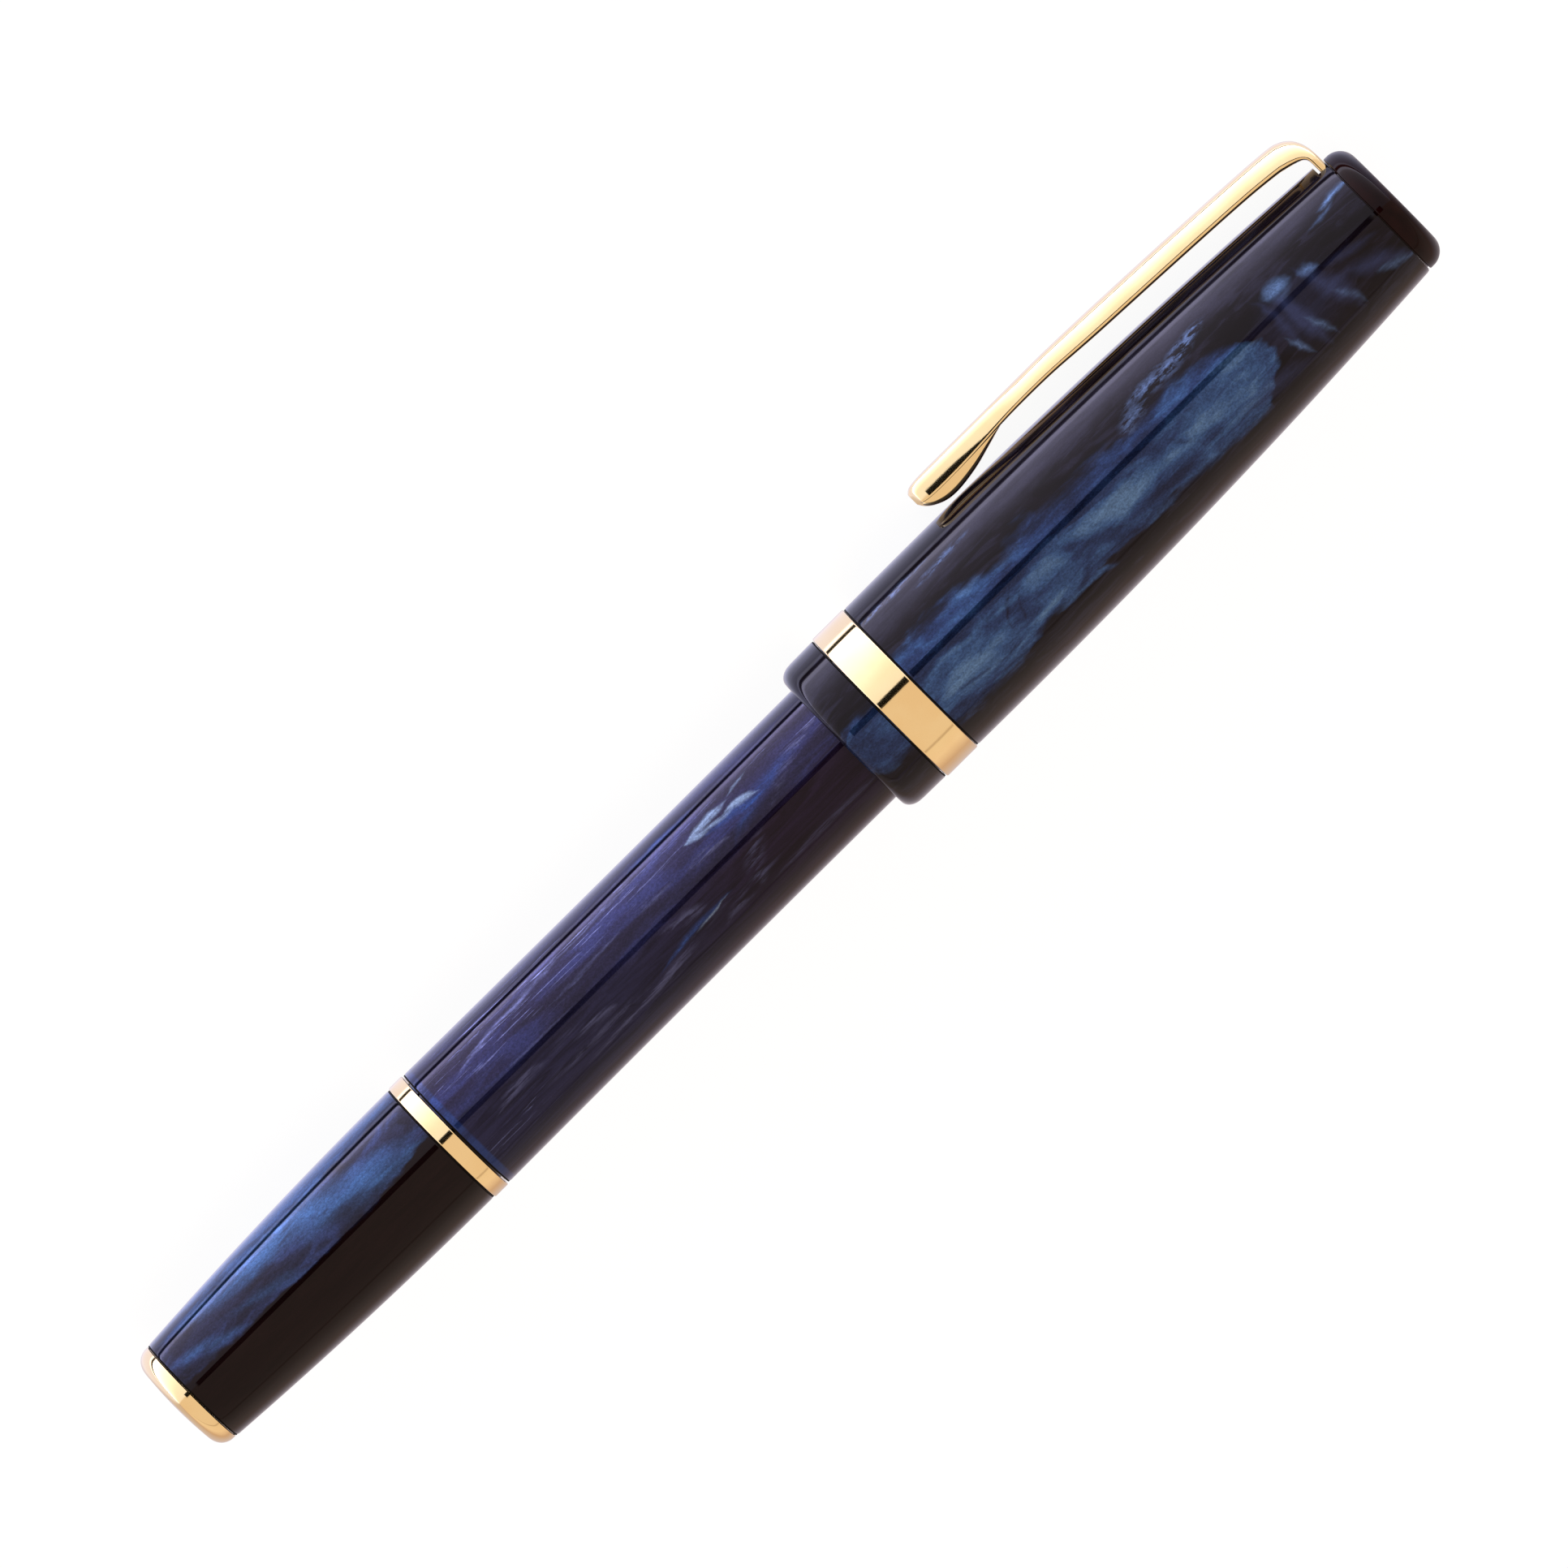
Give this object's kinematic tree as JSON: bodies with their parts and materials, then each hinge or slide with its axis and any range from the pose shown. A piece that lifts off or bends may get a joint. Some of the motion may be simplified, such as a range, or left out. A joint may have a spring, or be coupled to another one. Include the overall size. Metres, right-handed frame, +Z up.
{
  "type": "fountain pen",
  "caption": "Capped fountain pen with a marbled resin barrel and screw cap, gold trim and spring clip, a nib and a twist-piston ink converter inside.",
  "frame": {"origin": "centre of the pen's box, at the table it lies on, with the cap on and screwed shut", "axes": "+X along the pen's axis from the tail to the top of the cap; +Z up from the table; the clip is on the +Y side, below the axis, and touches the table"},
  "size_m": [0.138, 0.018, 0.0155],
  "materials": {
    "cap_resin": "polished marbled resin, blue pearl in black violet",
    "barrel_resin": "polished marbled resin, violet and blue pearl with fine streaks",
    "tail_resin": "polished marbled resin, blue pearl veils",
    "finial_resin": "polished, very dark brown",
    "gold": "polished gold plating",
    "steel": "fine satin",
    "brass": "turned, bare",
    "black_plastic": "moulded, satin",
    "clear_plastic": "clear, moulded",
    "soft_seal": "matt silicone"
  },
  "bodies": {
    "section": {"grip_section": "barrel_resin", "nib_housing": "black_plastic", "feed": "black_plastic", "nib": "gold", "nib_tip": "steel"},
    "inner_cap": {"inner_cap": "black_plastic", "inner_cap_seal": "soft_seal"},
    "spring_seat": {"spring_seat": "steel", "cap_spring": "steel"},
    "cap": {"cap_tube": "cap_resin", "cap_lip": "cap_resin", "cap_band": "gold", "finial": "finial_resin", "clip_ring": "gold", "inner_cap_retainer": "black_plastic"},
    "clip": {"clip": "gold"},
    "joint_ring": {"joint_ring": "gold"},
    "barrel": {"barrel": "barrel_resin", "barrel_insert": "brass", "tail_ring": "gold", "tail_body": "tail_resin", "tail_jewel": "gold"},
    "converter": {"converter_tube": "clear_plastic", "converter_collar": "steel", "drive_bush": "black_plastic"},
    "knob": {"twist_knob": "black_plastic"},
    "piston": {"piston_rod": "black_plastic", "piston_seal": "soft_seal"}
  },
  "joints": [
    {"name": "cap_pull", "type": "slide", "parent": "section", "child": "inner_cap", "axis": [1, 0, 0], "range_m": [0, 0.062]},
    {"name": "cap_turn", "type": "hinge", "parent": "inner_cap", "child": "spring_seat", "pos_m": [0.0627, -0.00129, 0.00773], "axis": [1, 0, 0], "range_deg": [0, 450.5]},
    {"name": "cap_lift", "type": "slide", "parent": "spring_seat", "child": "cap", "axis": [1, 0, 0], "range_m": [0, 0.002], "deforming": ["cap_spring"]},
    {"name": "clip_flex", "type": "hinge", "parent": "cap", "child": "clip", "pos_m": [0.0666, 0.00459, 0.00402], "axis": [0, -0.5331, -0.846], "range_deg": [0, 4], "stiffness_Nm_per_rad": 1.5, "springref_deg": -1.72},
    {"name": "barrel_pull", "type": "slide", "parent": "section", "child": "joint_ring", "axis": [-1, 0, 0], "range_m": [0, 0.07]},
    {"name": "barrel_turn", "type": "hinge", "parent": "joint_ring", "child": "barrel", "pos_m": [0.009, -0.00129, 0.00773], "axis": [-1, 0, 0], "range_deg": [0, 1800]},
    {"name": "converter_pull", "type": "slide", "parent": "section", "child": "converter", "axis": [-1, 0, 0], "range_m": [0, 0.007]},
    {"name": "knob_turn", "type": "hinge", "parent": "converter", "child": "knob", "pos_m": [-0.043, -0.00129, 0.00773], "axis": [-1, 0, 0], "range_deg": [0, 2881]},
    {"name": "piston_travel", "type": "slide", "parent": "converter", "child": "piston", "axis": [1, 0, 0], "range_m": [0, 0.024]}
  ],
  "couplings": [
    {"joint": "cap_turn", "follows": "cap_lift", "rad_per_m": 3927},
    {"joint": "knob_turn", "follows": "piston_travel", "rad_per_m": 2094.4}
  ]
}
